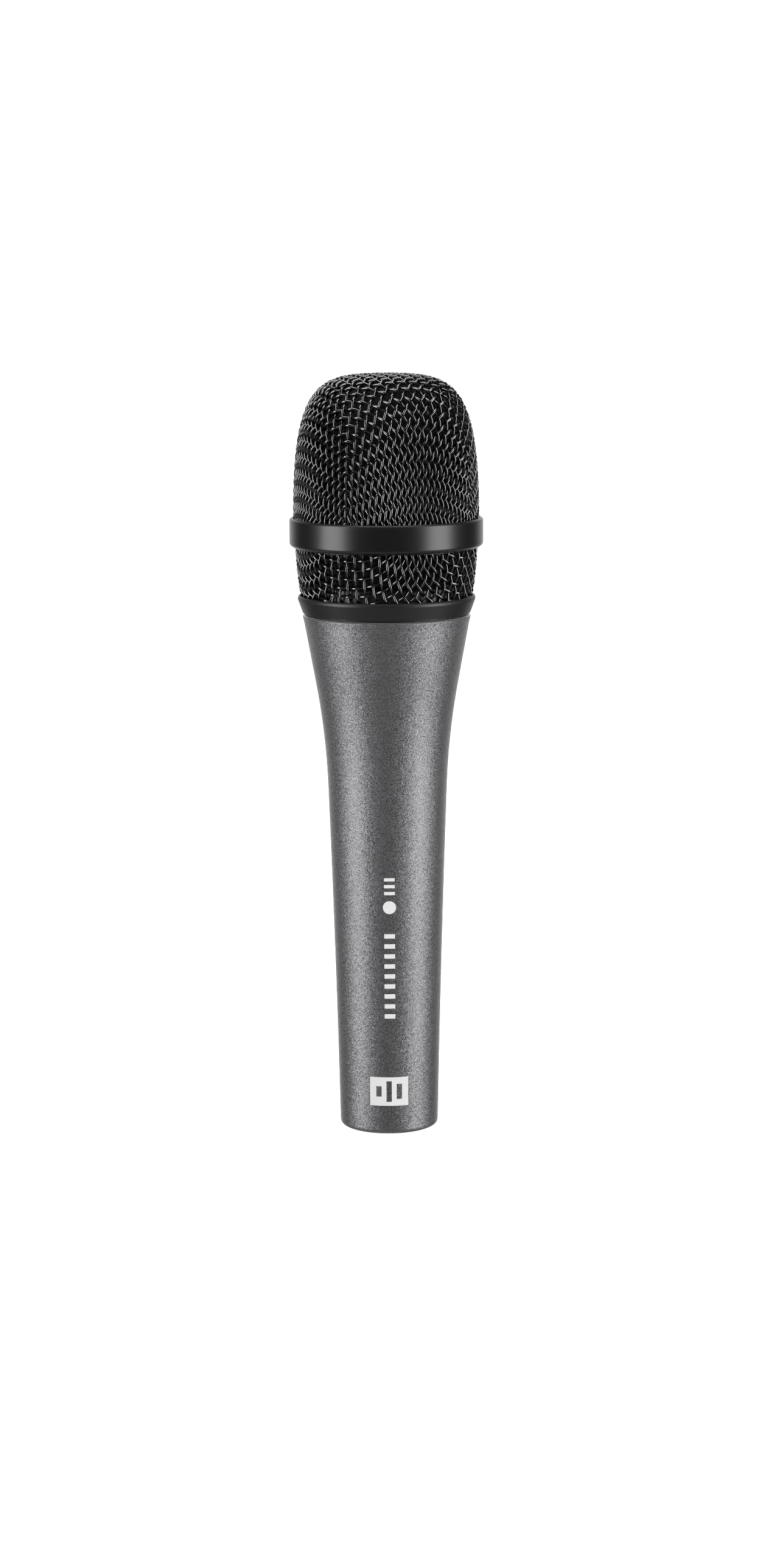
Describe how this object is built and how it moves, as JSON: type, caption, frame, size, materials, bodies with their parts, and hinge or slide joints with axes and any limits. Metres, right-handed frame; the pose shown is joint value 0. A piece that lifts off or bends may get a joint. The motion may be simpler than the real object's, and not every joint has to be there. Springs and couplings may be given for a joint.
{
  "type": "handheld dynamic microphone",
  "caption": "Handheld dynamic vocal microphone with a tapered metal handle, a domed woven-wire head on a screw collar, and a sprung moving-coil capsule inside.",
  "frame": {"origin": "on the axis at the bottom rim, the plane that the microphone stands on", "axes": "+Z from the connector to the grille, -Y towards the front of the handle, +X to the right"},
  "size_m": [0.0468, 0.0468, 0.185],
  "materials": {
    "handle_paint": "satin metallic enamel with fine flakes",
    "insert_nylon": "moulded, fine grain",
    "contact_plate": "plated",
    "screw_steel": "blackened steel",
    "bronze": "bronze strip",
    "lead_green": "PVC insulation",
    "lead_red": "PVC insulation",
    "lamination": "stacked laminations",
    "bobbin_nylon": "moulded nylon",
    "winding_copper": "enamelled copper winding under tape",
    "sleeve_foam": "open-cell foam",
    "mount_rubber": "moulded rubber",
    "ring_alloy": "turned",
    "washer_nylon": "matte",
    "collar_paint": "smooth satin black enamel",
    "ring_paint": "fine-grained satin black enamel",
    "mesh_wire": null,
    "hoop_steel": "bright steel",
    "liner_foam": "open-cell foam",
    "capsule_plastic": "moulded, satin",
    "board_phenolic": "phenolic board",
    "tag_gold": "gold-plated tags",
    "port_silk": "silk",
    "cup_iron": "turned soft iron",
    "magnet_alloy": "sintered magnet alloy",
    "felt": "felt",
    "ring_brass": "turned brass",
    "front_silk": "woven cloth",
    "cap_plate": "gold-coloured anodised cap",
    "film": "thin polyester film",
    "coil_copper": "copper wire"
  },
  "bodies": {
    "handle_body": {"handle": "handle_paint", "xlr_insert": "insert_nylon", "contact_pin_1": "contact_plate", "contact_pin_2": "contact_plate", "contact_pin_3": "contact_plate", "insert_screw": "screw_steel", "ground_spring": "bronze", "output_leads": "lead_green", "transformer_core": "lamination", "transformer_bobbin": "bobbin_nylon", "transformer_winding": "winding_copper", "transformer_sleeve": "sleeve_foam", "capsule_leads": "lead_red", "shock_mount": "mount_rubber", "mount_ring": "ring_alloy"},
    "washer_body": {"seal_washer": "washer_nylon"},
    "head": {"collar": "collar_paint", "lower_mesh": "mesh_wire", "mid_ring": "ring_paint", "inner_hoop": "hoop_steel", "upper_mesh": "mesh_wire", "foam_liner": "liner_foam"},
    "capsule": {"rear_chamber": "capsule_plastic", "terminal_board": "board_phenolic", "solder_tags": "tag_gold", "capsule_housing": "capsule_plastic", "port_cloth": "port_silk", "motor_frame": "capsule_plastic", "magnet_cup": "cup_iron", "magnet": "magnet_alloy", "pole_piece": "cup_iron", "top_plate": "cup_iron", "damping_felt": "felt", "diaphragm_ring": "ring_brass", "front_cloth": "front_silk", "front_cap": "cap_plate"},
    "coil": {"diaphragm": "film", "voice_coil": "coil_copper"}
  },
  "joints": [
    {"name": "head_lift", "type": "slide", "parent": "handle_body", "child": "washer_body", "axis": [0, 0, 1], "range_m": [0, 0.0063]},
    {"name": "head_turn", "type": "hinge", "parent": "washer_body", "child": "head", "pos_m": [0, 0, 0.1275], "axis": [0, 0, 1], "range_deg": [0, 1800]},
    {"name": "capsule_float", "type": "slide", "parent": "handle_body", "child": "capsule", "axis": [0, 0, 1], "range_m": [-0.0008, 0.0008], "stiffness_N_per_m": 1500, "springref_m": 0.00033, "deforming": ["shock_mount", "capsule_leads"]},
    {"name": "diaphragm_travel", "type": "slide", "parent": "capsule", "child": "coil", "axis": [0, 0, 1], "range_m": [-0.00035, 0.00035], "stiffness_N_per_m": 650}
  ],
  "couplings": [
    {"joint": "head_lift", "follows": "head_turn", "m_per_rad": 0.00019894}
  ]
}
